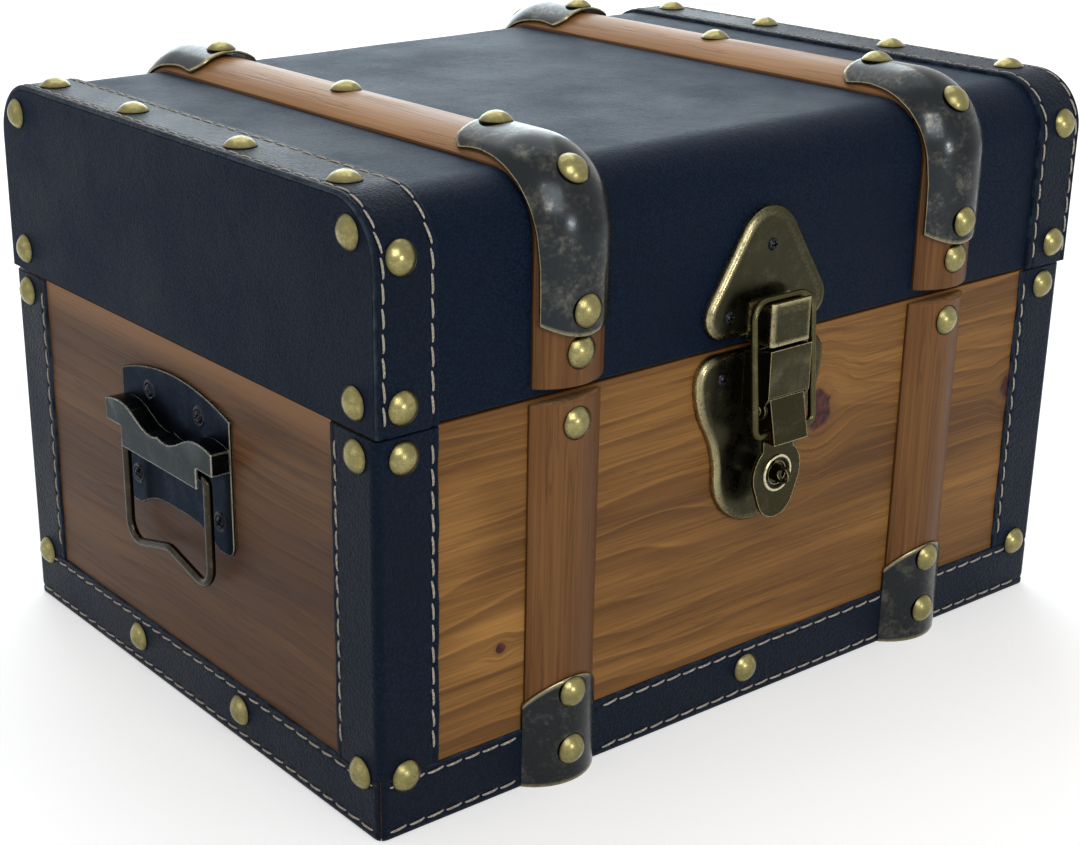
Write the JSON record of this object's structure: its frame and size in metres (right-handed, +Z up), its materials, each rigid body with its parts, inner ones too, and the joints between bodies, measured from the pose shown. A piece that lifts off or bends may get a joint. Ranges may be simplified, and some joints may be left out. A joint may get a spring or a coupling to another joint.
{
  "type": "chest",
  "caption": "Small stained-wood storage chest with navy leather edging, half-round straps, metal caps, studs, a draw latch, two drop handles and a hinged lid.",
  "frame": {"origin": "on the floor under the middle of the wooden chest, which is 2 mm behind the middle of the bounding box because the latch stands out further than the hinges", "axes": "+X to the right of somebody facing the latch, -Y towards that person, +Z up"},
  "size_m": [0.314, 0.2477, 0.2032],
  "materials": {
    "panel_wood": "stained pine, satin",
    "strap_wood": "darker stained pine, satin",
    "navy_leather": "pebbled imitation leather",
    "dark_sheet": "dark antiqued sheet steel, polished on the edges",
    "stud_brass": "antiqued brass",
    "latch_brass": "antiqued brass",
    "hinge_brass": "antiqued brass",
    "dark_screw": "blackened steel",
    "steel_wire": "antiqued steel wire",
    "handle_metal": "blackened sheet steel"
  },
  "bodies": {
    "base": {"base_front_board": "panel_wood", "base_back_board": "panel_wood", "base_left_board": "panel_wood", "base_right_board": "panel_wood", "base_floor_board": "panel_wood", "foot_leather": "navy_leather", "corner_leather_front_left": "navy_leather", "corner_leather_front_right": "navy_leather", "corner_leather_back_left": "navy_leather", "corner_leather_back_right": "navy_leather", "base_slat_front_left": "strap_wood", "base_slat_front_right": "strap_wood", "base_slat_back_left": "strap_wood", "base_slat_back_right": "strap_wood", "foot_cap_front_left": "dark_sheet", "foot_cap_front_right": "dark_sheet", "foot_cap_back_left": "dark_sheet", "foot_cap_back_right": "dark_sheet", "base_studs": "stud_brass", "base_screws": "dark_screw", "latch_base_plate": "latch_brass", "latch_staple": "latch_brass", "latch_housing": "latch_brass", "latch_lever_pin": "latch_brass", "hinge_pins": "hinge_brass", "hinge_base_leaf_left": "hinge_brass", "hinge_base_leaf_right": "hinge_brass", "handle_plate_left": "handle_metal", "handle_plate_right": "handle_metal", "handle_bridge_left": "handle_metal", "handle_bridge_right": "handle_metal"},
    "lid": {"lid_front_board": "panel_wood", "lid_back_board": "panel_wood", "lid_top_board": "panel_wood", "lid_left_board": "panel_wood", "lid_right_board": "panel_wood", "lid_cover_leather": "navy_leather", "lid_end_leather_left": "navy_leather", "lid_end_leather_right": "navy_leather", "lid_band_left": "navy_leather", "lid_band_right": "navy_leather", "lid_slat_front_left": "strap_wood", "lid_slat_front_right": "strap_wood", "lid_slat_top_left": "strap_wood", "lid_slat_top_right": "strap_wood", "lid_slat_back_left": "strap_wood", "lid_slat_back_right": "strap_wood", "elbow_cap_front_left": "dark_sheet", "elbow_cap_front_right": "dark_sheet", "elbow_cap_back_left": "dark_sheet", "elbow_cap_back_right": "dark_sheet", "lid_studs": "stud_brass", "lid_screws": "dark_screw", "latch_lid_plate": "latch_brass", "hinge_lid_leaf_left": "hinge_brass", "hinge_lid_leaf_right": "hinge_brass"},
    "latch_lever": {"latch_lever": "latch_brass"},
    "latch_bail": {"latch_bail": "latch_brass"},
    "handle_bail_left": {"handle_bail_left": "steel_wire"},
    "handle_bail_right": {"handle_bail_right": "steel_wire"}
  },
  "joints": [
    {"name": "lid_hinge", "type": "hinge", "parent": "base", "child": "lid", "pos_m": [0, 0.1128, 0.1265], "axis": [-1, 0, 0], "range_deg": [0, 105]},
    {"name": "latch_lever_hinge", "type": "hinge", "parent": "base", "child": "latch_lever", "pos_m": [-0.002, -0.119, 0.1075], "axis": [-1, 0, 0], "range_deg": [0, 75]},
    {"name": "latch_bail_hinge", "type": "hinge", "parent": "latch_lever", "child": "latch_bail", "pos_m": [-0.002, -0.122, 0.1], "axis": [1, 0, 0], "range_deg": [0, 75]},
    {"name": "handle_left_hinge", "type": "hinge", "parent": "base", "child": "handle_bail_left", "pos_m": [-0.1542, 0, 0.0895], "axis": [0, 1, 0], "range_deg": [0, 110]},
    {"name": "handle_right_hinge", "type": "hinge", "parent": "base", "child": "handle_bail_right", "pos_m": [0.1542, 0, 0.0895], "axis": [0, -1, 0], "range_deg": [0, 110]}
  ],
  "couplings": [
    {"joint": "latch_bail_hinge", "follows": "latch_lever_hinge", "ratio": 1}
  ]
}
